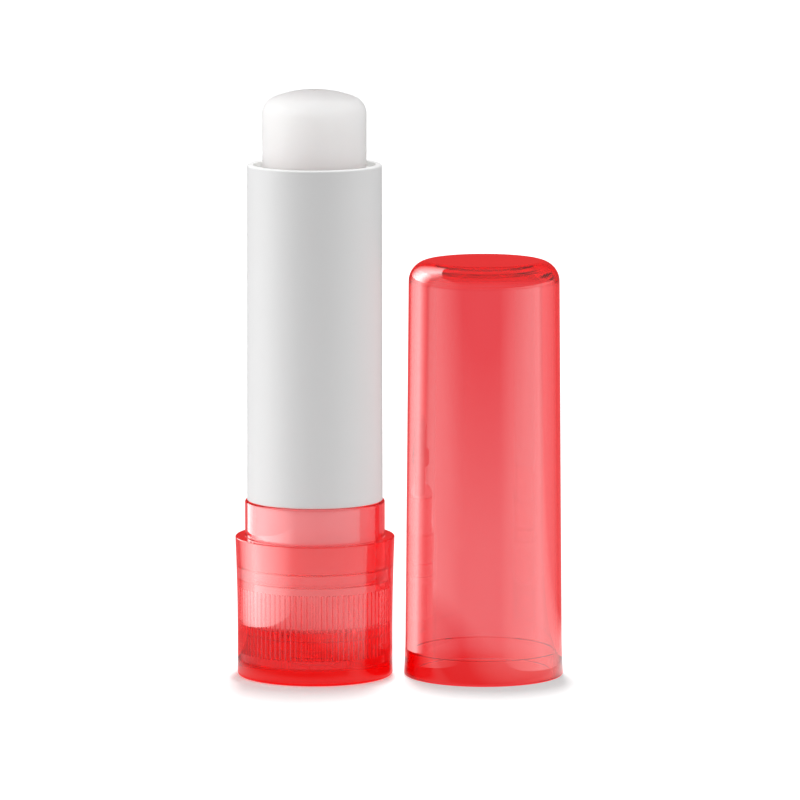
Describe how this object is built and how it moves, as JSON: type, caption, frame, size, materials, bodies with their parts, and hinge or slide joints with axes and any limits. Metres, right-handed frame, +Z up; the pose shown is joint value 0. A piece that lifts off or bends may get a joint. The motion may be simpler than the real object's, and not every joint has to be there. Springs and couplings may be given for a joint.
{
  "type": "twist-up lip balm stick",
  "caption": "Twist-up lip balm stick in a white sleeve with a clear red foot cup and collar; its clear red cap stands beside it.",
  "frame": {"origin": "centre of the foot cup's flat underside, on the stick's axis", "axes": "+Z up along the stick's axis towards the balm's tip; +X from the stick towards the cap that stands beside it; -Y towards the viewer"},
  "size_m": [0.0398, 0.0194, 0.0712],
  "materials": {
    "clear_red": "clear, polished",
    "clear_red_inner": "clear, polished",
    "clear_red_collar": "clear, polished",
    "white_tube": "moulded, semi-gloss",
    "white_sleeve": "moulded, satin",
    "white_carrier": "moulded",
    "balm_wax": "smooth cast wax",
    "clear_red_cap": "clear, polished"
  },
  "bodies": {
    "barrel": {"inner_tube": "white_tube", "sleeve": "white_sleeve", "collar": "clear_red_collar"},
    "base": {"base_cup": "clear_red", "drive_screw": "clear_red_inner"},
    "balm_carrier": {"carrier": "white_carrier", "balm": "balm_wax"},
    "cap": {"cap": "clear_red_cap"}
  },
  "joints": [
    {"name": "base_turn", "type": "hinge", "parent": "barrel", "child": "base", "pos_m": [0, 0, 0], "axis": [0, 0, 1], "range_deg": [-720, 2448]},
    {"name": "balm_rise", "type": "slide", "parent": "barrel", "child": "balm_carrier", "axis": [0, 0, 1], "range_m": [-0.01001, 0.03401]},
    {"name": "cap_lift", "type": "slide", "parent": "barrel", "child": "cap", "axis": [0, 0, 1], "range_m": [0, 0.08]}
  ],
  "couplings": [
    {"joint": "balm_rise", "follows": "base_turn", "m_per_rad": 0.00079577}
  ]
}
